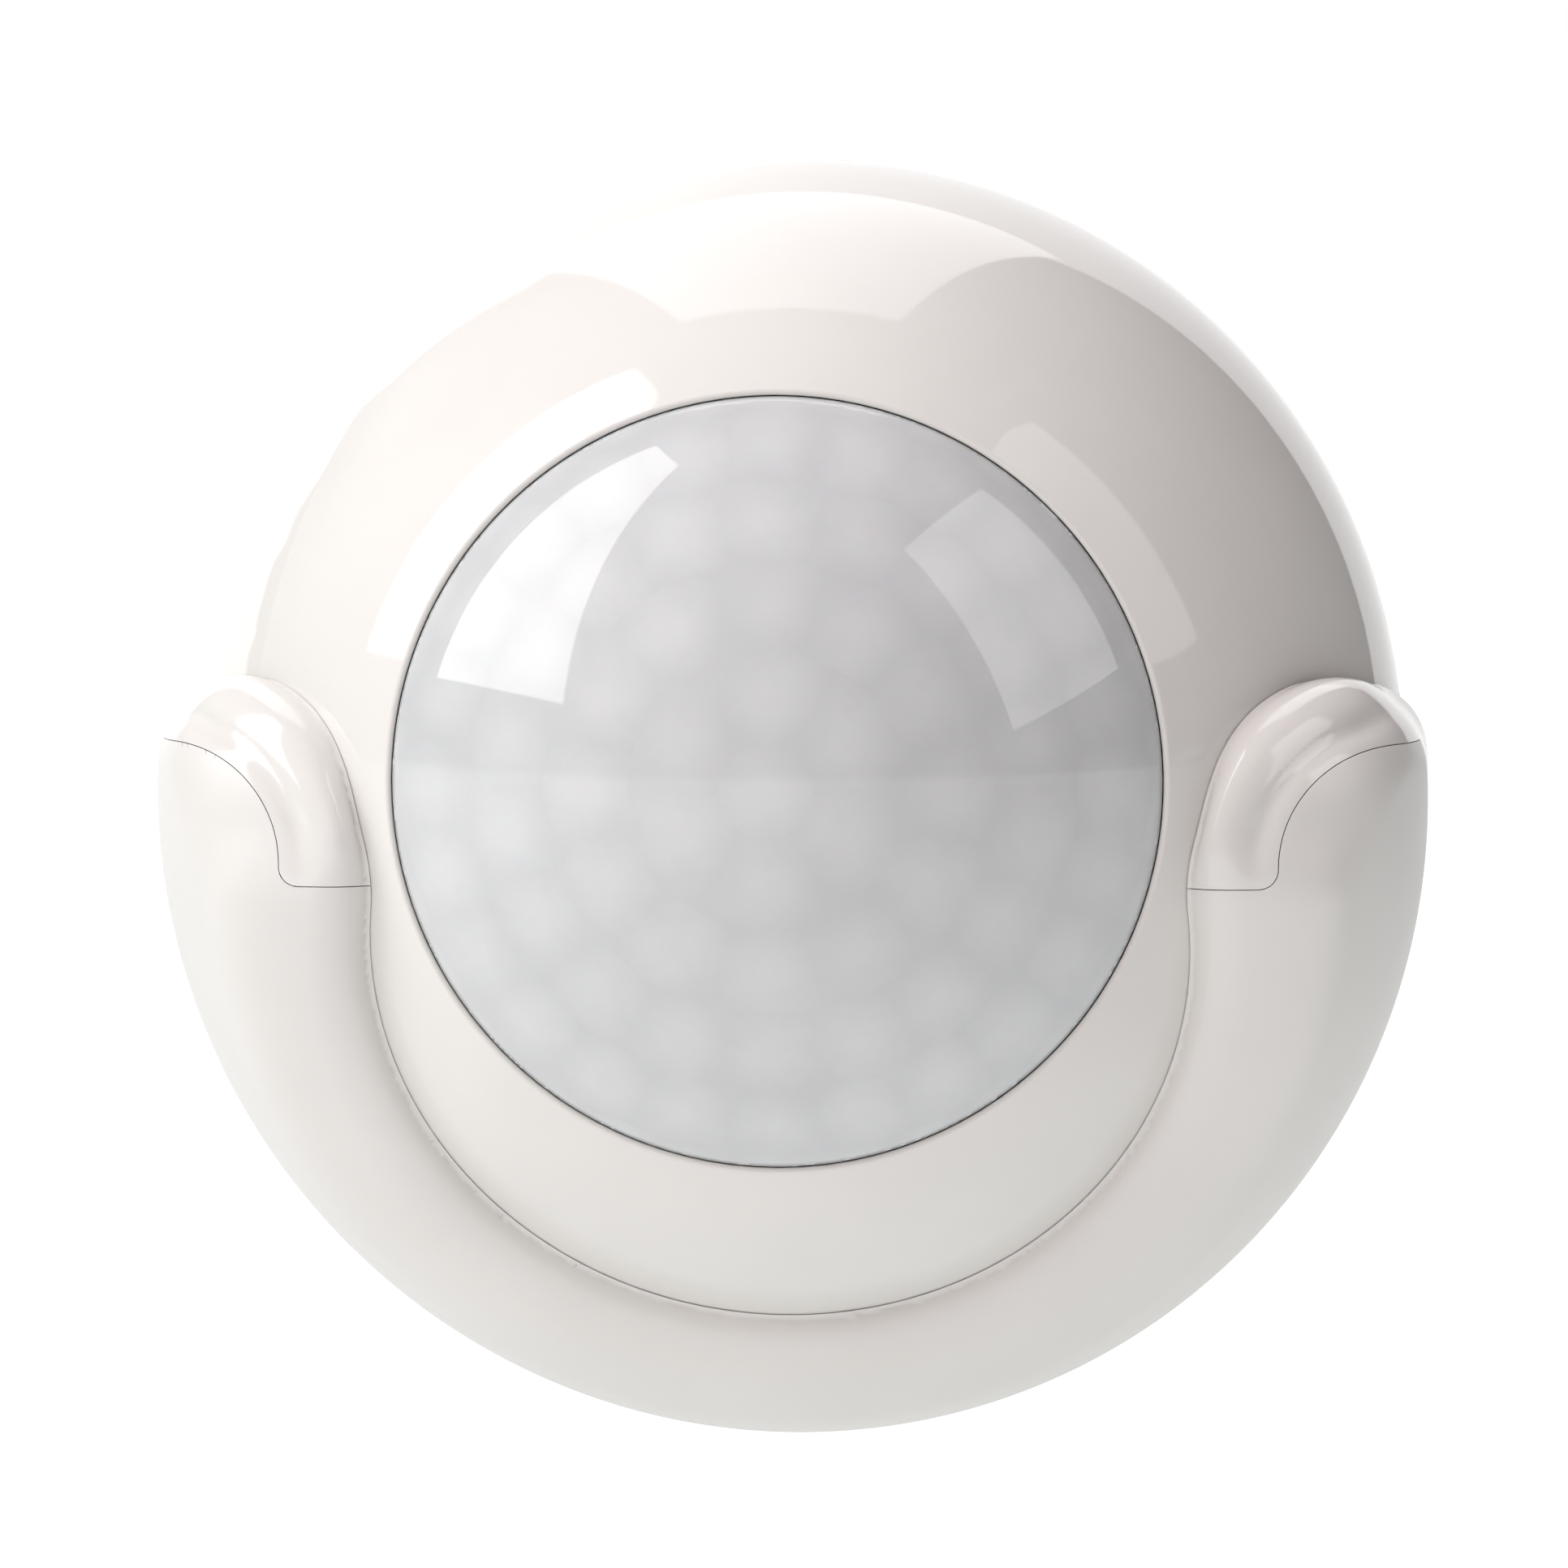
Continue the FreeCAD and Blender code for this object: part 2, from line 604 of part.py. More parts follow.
def cradle_yoke(body):
    """Glossy rear half of the cradle: bowl, arms, hoods, pivot bosses and neck."""
    yoke = body.cut(cover_zone(SEAM_GAP)).fuse(neck())
    yoke = yoke.cut(ball(CAVITY_R))
    for side in (-1, 1):
        ends = (30.3, 31.2) if side > 0 else (-31.2, -30.3)
        yoke = yoke.fuse(rod_x(3.2, *ends))
    yoke = yoke.cut(rod_x(PIN_R, -40, 40)).cut(neck_socket())
    return yoke.removeSplitter()


def wall_plate():
    """Round plate with two countersunk screw holes and a hub with three lugs."""
    rim = rod_y(PLATE_R, 33.2, WALL_Y - 0.4, 0, NECK_Z)
    rim = rim.makeFillet(1.6, [e for e in rim.Edges if abs(e.BoundBox.YMax - 33.2) < 0.01])
    plate = rim.fuse(rod_y(6.7, 30.5, 34, 0, NECK_Z))
    for turn in range(3):
        plate = plate.fuse(sector(6.0, 7.9, 30.5, 31.6, 120 * turn, 30, NECK_Z))
    plate = plate.cut(rod_y(4.6, 32.0, 40, 0, NECK_Z))
    for x in (-HOLE_X, HOLE_X):
        plate = plate.cut(rod_y(HOLE_R, 30, 40, x, NECK_Z))
        cone = Part.makeCone(3.4, HOLE_R, 1.6, Vector(x, 33.1, NECK_Z), BACK)
        plate = plate.cut(cone)
    plate = plate.cut(rod_y(PLATE_R - 1.2, WALL_Y - 0.9, 40, 0, NECK_Z))
    return plate.removeSplitter()


def adhesive_pad():
    """Foam pad sunk in the plate's back, with clearance for the two screws."""
    pad = rod_y(PLATE_R - 1.4, WALL_Y - 0.9, WALL_Y, 0, NECK_Z)
    for x in (-HOLE_X, HOLE_X):
        pad = pad.cut(rod_y(HOLE_R + 0.5, 30, 40, x, NECK_Z))
    return pad


if __name__ == "__main__":
    os.makedirs("parts", exist_ok=True)
    whole_cradle = crescent()
    pieces = {
        "front_shell": front_shell(),
        "fresnel_lens": fresnel_lens(),
        "lens_retainer": lens_retainer(),
        "rear_shell": rear_shell(),
        "battery_door": battery_door(),
        "shell_screws": shell_screws(),
        "board_screws": board_screws(),
        "main_board": main_board(),
        "pir_collar": pir_collar(),
        "pir_sensor": pir_sensor(),
        "pir_window": pir_window(),
        "status_led": status_led(),
        "light_sensor": light_sensor(),
        "capacitor": capacitor(),
        "control_chip": control_chip(),
        "wifi_module": wifi_module(),
        "wifi_shield": wifi_shield(),
        "pairing_switch": pairing_switch(),
        "pairing_button": pairing_button(),
        "battery_tray": battery_tray(),
        "battery_cell": battery_cell(),
        "contact_negative": contact_plate(-1),
        "contact_positive": contact_positive(),
        "contact_spring": contact_spring(),
        "bush_left": pivot_bush(-1),
        "bush_right": pivot_bush(1),
        "pivot_pin_left": pivot_pin(-1),
        "pivot_pin_right": pivot_pin(1),
        "friction_washer_left": friction_washer(-1),
        "friction_washer_right": friction_washer(1),
        "cradle_cover": cradle_cover(whole_cradle),
        "cradle_yoke": cradle_yoke(whole_cradle),
        "wall_plate": wall_plate(),
        "adhesive_pad": adhesive_pad(),
    }
    for name, shape in pieces.items():
        place(name, shape)
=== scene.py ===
"""Motion sensor in Blender: materials, finer pieces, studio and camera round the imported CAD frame.

Everything is in metres in the part's frame: the wall face is the plane y = 0, the lens looks
towards -Y, +X is on the viewer's right and +Z is up.
"""
import json
import math

import bpy
import numpy as np
from mathutils import Matrix, Vector


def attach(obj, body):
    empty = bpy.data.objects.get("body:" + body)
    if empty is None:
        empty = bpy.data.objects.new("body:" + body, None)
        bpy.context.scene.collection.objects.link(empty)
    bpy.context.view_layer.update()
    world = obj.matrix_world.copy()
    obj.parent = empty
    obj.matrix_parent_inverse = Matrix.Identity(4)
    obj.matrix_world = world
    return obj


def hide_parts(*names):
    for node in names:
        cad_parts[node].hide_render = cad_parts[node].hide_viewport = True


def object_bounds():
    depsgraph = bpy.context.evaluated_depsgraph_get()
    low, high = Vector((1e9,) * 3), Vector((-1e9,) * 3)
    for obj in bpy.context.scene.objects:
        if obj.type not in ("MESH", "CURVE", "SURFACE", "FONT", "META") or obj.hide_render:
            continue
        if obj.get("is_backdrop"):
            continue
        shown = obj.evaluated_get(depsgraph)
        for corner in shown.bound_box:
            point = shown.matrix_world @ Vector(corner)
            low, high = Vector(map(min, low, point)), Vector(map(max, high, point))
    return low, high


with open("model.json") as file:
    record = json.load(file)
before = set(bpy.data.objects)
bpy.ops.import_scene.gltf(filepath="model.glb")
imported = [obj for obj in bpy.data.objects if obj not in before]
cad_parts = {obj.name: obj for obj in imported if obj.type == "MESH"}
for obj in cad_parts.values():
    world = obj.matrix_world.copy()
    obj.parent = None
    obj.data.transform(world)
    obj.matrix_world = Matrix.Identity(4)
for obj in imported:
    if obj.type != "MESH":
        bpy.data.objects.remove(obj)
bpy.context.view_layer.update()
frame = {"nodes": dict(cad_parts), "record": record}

# ---- driving values ----------------------------------------------------------------------
MM = 0.001
JOINTS = {joint["name"]: joint for joint in frame["record"]["behaviour"]["joints"]}
HEAD = Vector(JOINTS["head_tilt"]["pos_m"])       # middle of the round head

# Camera and studio, in metres and degrees unless a comment says otherwise.
CAMERA_DISTANCE = 0.700          # from the middle of the head
CAMERA_YAW = 3.35                # round from straight in front, towards +X
CAMERA_HEIGHT = 3.0              # above the horizontal
CAMERA_ASIDE = (-0.001017, -0.001328)   # parallel offset, across and up
SENSOR = 36.0                    # width of the film frame, mm
LENS_LENGTH = 314.35             # focal length, mm
SOFTBOX_DISTANCE = 1.6           # from the middle of the head, as is the lamps' distance
LAMP_DISTANCE = 1.5
LAMP_SIDE = 0.9
FLOOR_REACH = 12.0

# Colours.
LENS_DARK = (0.545, 0.565, 0.568)       # joints between the lens cells
LENS_LIGHT = (0.622, 0.641, 0.641)      # middles of the lens cells
WARM_WHITE = (0.72, 0.715, 0.685)
TONE_DRIFT = 0.02                # how far a plastic's tone wanders, as a share of its colour

# Cradle and lens, in millimetres about the middle of the head.
LEAN = math.radians(21.3)        # the crescent's axis points this far below the lens axis
CREST = 24.3                     # crescent's front plane along that axis
PARTING = 10.3                   # plane where the satin cover meets the glossy yoke
EGG_WIDEST = 10.33               # the egg's widest place along the leaning axis
EGG_LIFT = 2.41                  # the egg's middle above that axis
EGG_SIDE = 32.0                  # the egg's four radii
EGG_UP = 33.75
EGG_NOSE = 23.4
EGG_TAIL = 70.0
SEAT_RADII = (31.8, 32.6, 33.4)
WALL = 2.64                      # cradle's wall at the opening
HOOD_THINNING = 0.8              # the hoods' walls are this much thinner
BEAD = (0.32, 1.7, 1.2)          # height, place and half width of the bead along the opening
TUBE = (0.55, 3.5, 1.25)         # the hood's round rim, placed from the tongue's border
GROOVE = (0.5, 1.2, 0.65)        # the groove between that rim and the tongue
EDGE_R = 0.6                     # rounding of the cradle's hidden edges
OPENING_R = 2.9                  # further rounding along the opening
HOOD_R = 1.5                     # still further rounding of the hoods
SIDE_ROUNDING = 0.85             # share of the rounding that the arms keep behind the opening
RIM_BACK = 1.4                   # how far the rim's inner edge is set back behind its outline
HOOD_RIM_FORWARD = 1.0           # how much of that the hoods take back
RIM_POWER = 1.6                  # how soon the rim swings round to its inner edge
SEAM_Z = -5.3                    # lower end of the glossy hoods
SEAM_GAP = 0.045                 # between the cover and the yoke at the surface
SEAM_DEPTH = (0.07, 0.17)        # depths between which the seam closes up
CLOSED_GAP = 0.01
TONGUE_DEPTH = 1.0               # wall of the yoke behind the tongues
TONGUE_FOOT_R = 1.0              # where a tongue grows out of the cover
TOP_Z = 5.1                      # top of the arms before their edges are rounded
CORNER_R = 8.9                   # arm's front corner, tangent to the leaning front and the top
CORNER = (-(CREST - CORNER_R + (TOP_Z - CORNER_R) * math.sin(LEAN)) / math.cos(LEAN), TOP_Z - CORNER_R)
TONGUE = (30.6, -4.2)            # (x, z) middle of the tongue's round corner, seen from the front
TONGUE_R = 5.8
HEEL_Y = 2.0                     # the arm's rear corner
HEEL_R = 6.0
BOWL_START = (8.0, -4.6)         # (y, z) where the bowl's rim starts to slope back
BOWL_END = (24.0, -11.0)
HEEL_FOOT_R = 3.0                # inside corner between the arm and that rim
CAVITY = 30.8                    # ball socket
LIP = 0.15                       # how far the socket closes in along the opening
NECK_Z = -HEAD.z / MM            # the neck's axis is z = 0 of the frame
NECK_R = 10.5
NECK_START = 8.0                 # inside the ball socket, which cuts it away
NECK_END = 33.0
NECK_EDGE_R = 0.8
NECK_FOOT_R = 3.0                # where the neck grows out of the bowl
SOCKET_R = 6.9                   # bayonet socket: mouth, wider chamber, and where they start
CHAMBER_R = 8.1
SOCKET_Y = 30.2
CHAMBER_END = 31.8
PIN_R = 1.5                      # tilt pins through the arms
LENS_R = 19.0                    # straight rim of the lens
DOME_R = 24.9                    # sphere of the dome
DOME_Y = -7.69                   # middle of the dome's sphere
LENS_WALL = 0.9
DOME_EDGE_R = 0.15
FLANGE_Y = -21.5                 # front of the flange behind the bezel
FLANGE_R = 20.7
FLANGE_T = 1.0
SKIRT_Y = -23.65                 # behind this the rim of the lens fills its opening
SKIRT_GAP = 0.06
CELL_PITCH = 10.6                # degrees from ring to ring of lens cells
CELLS_IN_FIRST_RING = 6
CELL_DEPTH = 0.25
CELL_EDGE = (0.05, 0.62)         # from a cell's middle outwards, as a share of the pitch
GRID = 0.26                      # spacing of the grid that the cradle's meshes are drawn on
LENS_GRID = 0.25
NEAR_WALL = 0.85                 # in grid steps: how near two walls pull a point onto their edge

# Zones in which one shape of the cradle passes into the next: start and end.
SEAT_TO_EGG = (-8, 6)            # along the leaning axis
BEHIND_TO_OPENING = (-3, 8)
RELIEF_START = (2, 8)            # the bead and the rims rise from here forwards
BOWL_TO_HOOD = (-6, -2)          # upwards, as are the next three
RIM_FORWARD_START = (-3, 4)
SIDE_START = (-14, -6)
BEAD_START = (-26, -12)
TUBE_FADE = (28.5, 31)           # outwards from the middle
LIP_FADE = (1.5, 3.0)            # from the outline inwards


# ---- stage: floor, softboxes, surroundings and camera ------------------------------------
def direction(azimuth, elevation):
    """Unit vector from azimuth round from -Y towards +X and elevation, in degrees."""
    a, e = math.radians(azimuth), math.radians(elevation)
    return Vector((math.sin(a) * math.cos(e), -math.cos(a) * math.cos(e), math.sin(e)))


def flat_piece(name, points, faces):
    """Plain piece from corner points and faces, for the floor and the softboxes."""
    mesh = bpy.data.meshes.new(name)
    mesh.from_pydata([tuple(p) for p in points], [], faces)
    mesh.update()
    piece = bpy.data.objects.new(name, mesh)
    bpy.context.scene.collection.objects.link(piece)
    return piece


def emission(name, strength):
    """Glowing white material."""
    material = bpy.data.materials.new(name)
    material.use_nodes = True
    tree = material.node_tree
    tree.nodes.clear()
    output = tree.nodes.new("ShaderNodeOutputMaterial")
    glow = tree.nodes.new("ShaderNodeEmission")
    glow.inputs["Color"].default_value = (1, 1, 1, 1)
    glow.inputs["Strength"].default_value = strength
    tree.links.new(glow.outputs[0], output.inputs["Surface"])
    return material


def softbox(name, corners, distance, strength):
    """Flat glowing panel whose four corners are seen from the head in these directions."""
    points = [HEAD + direction(*corner) * distance for corner in corners]
    panel = flat_piece(name, points, [(0, 1, 2, 3)])
    panel.data.materials.append(emission(name + "_glow", strength))
    panel.visible_camera = False
    panel.visible_shadow = False
    panel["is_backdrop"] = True
    return panel


def soft_light(name, azimuth, elevation, watts, colour):
    """Large soft lamp aimed at the head, kept out of the reflections that the softboxes make."""
    data = bpy.data.lights.new(name, "AREA")
    data.size = LAMP_SIDE
    data.energy = watts
    data.color = colour
    lamp = bpy.data.objects.new(name, data)
    towards = direction(azimuth, elevation)
    lamp.location = HEAD + towards * LAMP_DISTANCE
    lamp.rotation_mode = "QUATERNION"
    lamp.rotation_quaternion = towards.to_track_quat("Z", "Y")
    lamp.visible_glossy = False
    bpy.context.scene.collection.objects.link(lamp)


def studio():
    """Key softbox on the left, one overhead, a weak one on the right, and a white sheet behind."""
    softbox("softbox_left", [(-92, 13.5), (-53, 14), (-66, 67.5), (-88, 66.5)], SOFTBOX_DISTANCE, 4.7)
    glint = softbox("softbox_right", [(55, 9), (88, 17), (85, 56), (40, 51)], SOFTBOX_DISTANCE, 2.3)
    glint.visible_diffuse = False
    softbox("softbox_top", [(-115, 72), (121, 76), (160, 36), (-150, 36)], SOFTBOX_DISTANCE, 2.2)
    softbox("sheet_behind", [(141, -25), (-128, -25), (-145, 40), (160, 40)], 1.5 * SOFTBOX_DISTANCE, 1.1)
    soft_light("key_soft", -50, 45, 4.6, (0.90, 1.0, 0.96))
    soft_light("front_soft", -20, 15, 7.1, (1.0, 0.86, 0.88))
    soft_light("top_soft", 0, 80, 9.2, (1.0, 0.86, 0.91))


def floor():
    """Plain pale floor under the cradle's lowest point, a little dimmer to the object than to the eye."""
    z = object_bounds()[0].z
    steps = 96
    turns = [2 * math.pi * step / steps for step in range(steps)]
    rim = [(FLOOR_REACH * math.cos(turn), FLOOR_REACH * math.sin(turn), z) for turn in turns]
    ground = flat_piece("floor", rim, [tuple(range(steps))])
    finish = Finish("floor_pale", (0.2, 0.2, 0.2), 0.9)
    finish.shader.inputs["Specular IOR Level"].default_value = 0.1
    finish.shader.inputs["Emission Color"].default_value = (1, 1, 1, 1)
    path = finish.node("ShaderNodeLightPath")
    glow = finish.range(path.outputs["Is Camera Ray"], 0, 1, 0.8, 1.0)
    finish.link(glow, finish.shader.inputs["Emission Strength"])
    ground.data.materials.append(finish.material)
    ground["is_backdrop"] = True


def surroundings():
    """White to the camera, and a dim even room to everything else."""
    world = bpy.data.worlds.new("studio_room")
    bpy.context.scene.world = world
    world.use_nodes = True
    tree = world.node_tree
    tree.nodes.clear()
    output = tree.nodes.new("ShaderNodeOutputWorld")
    seen = tree.nodes.new("ShaderNodeBackground")
    seen.inputs["Color"].default_value = (1, 1, 1, 1)
    seen.inputs["Strength"].default_value = 1.0
    room = tree.nodes.new("ShaderNodeBackground")
    room.inputs["Color"].default_value = (1.0, 0.88, 0.87, 1)
    room.inputs["Strength"].default_value = 0.02
    path = tree.nodes.new("ShaderNodeLightPath")
    mix = tree.nodes.new("ShaderNodeMixShader")
    tree.links.new(path.outputs["Is Camera Ray"], mix.inputs[0])
    tree.links.new(room.outputs[0], mix.inputs[1])
    tree.links.new(seen.outputs[0], mix.inputs[2])
    tree.links.new(mix.outputs[0], output.inputs["Surface"])


def camera():
    """Long lens nearly straight in front, a little to the right and above."""
    back = direction(CAMERA_YAW, CAMERA_HEIGHT)
    across = Vector((math.cos(math.radians(CAMERA_YAW)), math.sin(math.radians(CAMERA_YAW)), 0))
    up = back.cross(across)
    data = bpy.data.cameras.new("camera")
    data.sensor_width = SENSOR
    data.lens = LENS_LENGTH
    data.clip_start = 0.05
    data.clip_end = 100
    seat = bpy.data.objects.new("camera", data)
    seat.location = HEAD + back * CAMERA_DISTANCE + across * CAMERA_ASIDE[0] + up * CAMERA_ASIDE[1]
    seat.rotation_euler = Matrix((across, up, back)).transposed().to_euler()
    bpy.context.scene.collection.objects.link(seat)
    bpy.context.scene.camera = seat


# ---- materials ---------------------------------------------------------------------------
class Finish:
    """A Principled material with short calls for the nodes that every finish here needs."""

    def __init__(self, name, colour, roughness, **sockets):
        self.material = bpy.data.materials.new(name)
        self.material.use_nodes = True
        self.tree = self.material.node_tree
        self.shader = self.tree.nodes["Principled BSDF"]
        self.shader.inputs["Base Color"].default_value = (*colour, 1)
        self.shader.inputs["Roughness"].default_value = roughness
        for socket, value in sockets.items():
            self.shader.inputs[socket.replace("_", " ")].default_value = value
        self.place = self.node("ShaderNodeTexCoord").outputs["Object"]

    def node(self, kind, **settings):
        """New node of this kind with its settings."""
        made = self.tree.nodes.new(kind)
        for key, value in settings.items():
            setattr(made, key, value)
        return made

    def link(self, output, target):
        self.tree.links.new(output, target)

    def noise(self, size, detail=2.0, roughness=0.5):
        """Noise with features about this many metres across."""
        made = self.node("ShaderNodeTexNoise")
        made.inputs["Scale"].default_value = 1.0 / size
        made.inputs["Detail"].default_value = detail
        made.inputs["Roughness"].default_value = roughness
        self.link(self.place, made.inputs["Vector"])
        return made.outputs["Fac"]

    def range(self, value, low, high, to_low, to_high):
        """A value's run from low to high moved to the run from to_low to to_high."""
        made = self.node("ShaderNodeMapRange")
        self.link(value, made.inputs["Value"])
        made.inputs["From Min"].default_value = low
        made.inputs["From Max"].default_value = high
        made.inputs["To Min"].default_value = to_low
        made.inputs["To Max"].default_value = to_high
        return made.outputs["Result"]

    def maths(self, operation, first, second):
        """One operation on two values, each a number or another node's output."""
        made = self.node("ShaderNodeMath", operation=operation)
        for socket, value in zip(made.inputs, (first, second)):
            if isinstance(value, (int, float)):
                socket.default_value = value
            else:
                self.link(value, socket)
        return made.outputs[0]

    def mix(self, factor, first, second):
        """Blend of two colours, each a tuple or another node's output."""
        made = self.node("ShaderNodeMix", data_type="RGBA")
        self.link(factor, made.inputs["Factor"])
        for index, value in ((6, first), (7, second)):
            if isinstance(value, tuple):
                made.inputs[index].default_value = (*value, 1)
            else:
                self.link(value, made.inputs[index])
        return made.outputs[2]

    def colour(self, output):
        self.link(output, self.shader.inputs["Base Color"])

    def rough(self, output):
        self.link(output, self.shader.inputs["Roughness"])

    def bump(self, height, depth):
        """Bump whose height runs over this many metres."""
        made = self.node("ShaderNodeBump")
        made.inputs["Strength"].default_value = 1.0
        made.inputs["Distance"].default_value = depth
        self.link(height, made.inputs["Height"])
        self.link(made.outputs["Normal"], self.shader.inputs["Normal"])

    def length(self, across, along):
        """Distance from the origin of a point given by two node outputs."""
        squares = [self.maths("MULTIPLY", value, value) for value in (across, along)]
        return self.maths("SQRT", self.maths("ADD", *squares), 0)


def scaled(colour, factor):
    """Colour made darker or lighter, never past white."""
    return tuple(min(1.0, channel * factor) for channel in colour)


def moulded(name, colour, roughness, grain_size, grain_depth, wear=0.05, **sockets):
    """Moulded plastic: faint tone drift, moulding grain, handling marks in the gloss."""
    finish = Finish(name, colour, roughness, **sockets)
    drift = finish.range(finish.noise(9 * MM, 3), 0.3, 0.7, 0, 1)
    finish.colour(finish.mix(drift, scaled(colour, 1 - TONE_DRIFT), scaled(colour, 1 + TONE_DRIFT)))
    rub = finish.range(finish.noise(2.3 * MM, 5, 0.65), 0.35, 0.75, 0, wear)
    finish.rough(finish.maths("ADD", rub, roughness))
    finish.bump(finish.noise(grain_size, 3, 0.6), grain_depth)
    return finish.material


def milky_lens(name):
    """Milky polyethylene dome: pale round lens cells seen through it, blurred, with darker joints."""
    finish = Finish(name, (0.6, 0.605, 0.615), 0.035, Subsurface_Weight=0.2, Subsurface_Scale=0.0008)
    parts = finish.node("ShaderNodeSeparateXYZ")
    finish.link(finish.place, parts.inputs[0])
    x = finish.maths("SUBTRACT", parts.outputs["X"], HEAD.x)
    y = finish.maths("SUBTRACT", HEAD.y + DOME_Y * MM, parts.outputs["Y"])
    z = finish.maths("SUBTRACT", parts.outputs["Z"], HEAD.z)
    off_axis = finish.length(x, z)
    polar = finish.maths("DIVIDE", finish.maths("ARCTAN2", off_axis, y), math.radians(CELL_PITCH))
    ring = finish.maths("ROUND", polar, 0)
    cells = finish.maths("MULTIPLY", ring, CELLS_IN_FIRST_RING)
    turn = finish.maths("DIVIDE", finish.maths("ARCTAN2", x, z), 2 * math.pi)
    share = finish.maths("MULTIPLY", turn, cells)
    aside = finish.maths("SUBTRACT", share, finish.maths("ROUND", share, 0))
    inward = finish.maths("SUBTRACT", polar, ring)
    off = finish.length(aside, inward)
    wander = finish.range(finish.noise(3.2 * MM, 2), 0.3, 0.7, -0.13, 0.13)
    middle = finish.range(finish.maths("ADD", off, wander), 0.12, 0.62, 1, 0)
    cloud = finish.range(finish.noise(6.5 * MM, 3, 0.55), 0.3, 0.7, -0.35, 0.35)
    tone = finish.range(finish.maths("ADD", middle, cloud), -0.2, 1.2, 0, 1)
    finish.colour(finish.mix(tone, LENS_DARK, LENS_LIGHT))
    rub = finish.range(finish.noise(2.0 * MM, 5, 0.65), 0.4, 0.75, 0.03, 0.06)
    finish.rough(rub)
    finish.bump(finish.noise(1.4 * MM, 2), 0.0012 * MM)
    return finish.material


METAL = {"Metallic": 1.0}
# slot: colour, roughness, grain size and grain depth in mm, and any further settings
FINISHES = {
    "head_gloss": (WARM_WHITE, 0.045, 0.9, 0.0008, {"wear": 0.015, "Specular_IOR_Level": 0.32}),
    "yoke_gloss": (WARM_WHITE, 0.09, 0.7, 0.002, {}),
    "cover_satin": (scaled(WARM_WHITE, 0.98), 0.36, 0.16, 0.006, {}),
    "plate_satin": (scaled(WARM_WHITE, 0.95), 0.42, 0.18, 0.006, {}),
    "button_grey": ((0.45, 0.45, 0.44), 0.4, 0.2, 0.004, {}),
    "inner_white": ((0.75, 0.75, 0.73), 0.35, 0.3, 0.003, {}),
    "screw_steel": ((0.55, 0.56, 0.57), 0.3, 0.2, 0.002, METAL),
    "pin_steel": ((0.6, 0.6, 0.61), 0.22, 0.3, 0.002, METAL),
    "contact_nickel": ((0.66, 0.64, 0.6), 0.25, 0.3, 0.002, METAL),
    "can_nickel": ((0.68, 0.67, 0.65), 0.24, 0.3, 0.002, METAL),
    "board_green": ((0.03, 0.17, 0.08), 0.32, 0.5, 0.004, {}),
    "module_black": ((0.02, 0.02, 0.022), 0.35, 0.3, 0.003, {}),
    "chip_black": ((0.025, 0.025, 0.027), 0.5, 0.1, 0.003, {}),
    "filter_dark": ((0.02, 0.018, 0.02), 0.08, 0.5, 0.001, {}),
    "led_clear": ((0.3, 0.32, 0.8), 0.06, 0.5, 0.001, {}),
    "capacitor_can": ((0.62, 0.62, 0.63), 0.28, 0.3, 0.002, METAL),
    "cell_sleeve": ((0.04, 0.1, 0.22), 0.22, 0.6, 0.003, {}),
    "bush_acetal": ((0.8, 0.8, 0.78), 0.35, 0.3, 0.002, {}),
    "washer_rubber": ((0.42, 0.42, 0.41), 0.6, 0.2, 0.01, {}),
    "pad_foam": ((0.2, 0.2, 0.2), 0.9, 0.25, 0.05, {}),
}


def materials():
    """One finish for every material slot of the record."""
    made = {"lens_milky": milky_lens("lens_milky")}
    for name, (colour, roughness, size, depth, more) in FINISHES.items():
        made[name] = moulded(name, colour, roughness, size * MM, depth * MM, **more)
    return made


def dress(made):
    """Gives every CAD node the finish that its material slot names."""
    for node in frame["nodes"].values():
        for place in node.material_slots:
            name = place.material.name.split(".")[0]
            place.material = made.get(name, place.material)
            if name not in made:
                print("no finish for", node.name, name)


# ---- solids written as distance functions (mm, about the middle of the head) -------------
def ellipsoid(x, y, z, a, b, c):
    """About the distance to an ellipsoid with these three radii."""
    reach = np.sqrt((x / a) ** 2 + (y / b) ** 2 + (z / c) ** 2)
    slope = np.sqrt((x / a ** 2) ** 2 + (y / b ** 2) ** 2 + (z / c ** 2) ** 2)
    return reach * (reach - 1) / np.maximum(slope, 1e-6)


def both(first, second, r):
    """Intersection of two solids with a round edge of radius r."""
    corner = np.hypot(np.maximum(first + r, 0), np.maximum(second + r, 0)) - r
    return np.where(np.minimum(first, second) > -r, corner, np.maximum(first, second))


def either(first, second, r):
    """Union of two solids with a round inside corner of radius r."""
    return -both(-first, -second, r)


def ramp(value, start, end):
    """Smooth step from 0 at start to 1 at end."""
    t = np.clip((value - start) / (end - start), 0, 1)
    return t * t * (3 - 2 * t)


def leaning(y, z):
    """Coordinates along the crescent's leaning axis and square to it."""
    return -y * math.cos(LEAN) - z * math.sin(LEAN), -y * math.sin(LEAN) + z * math.cos(LEAN)


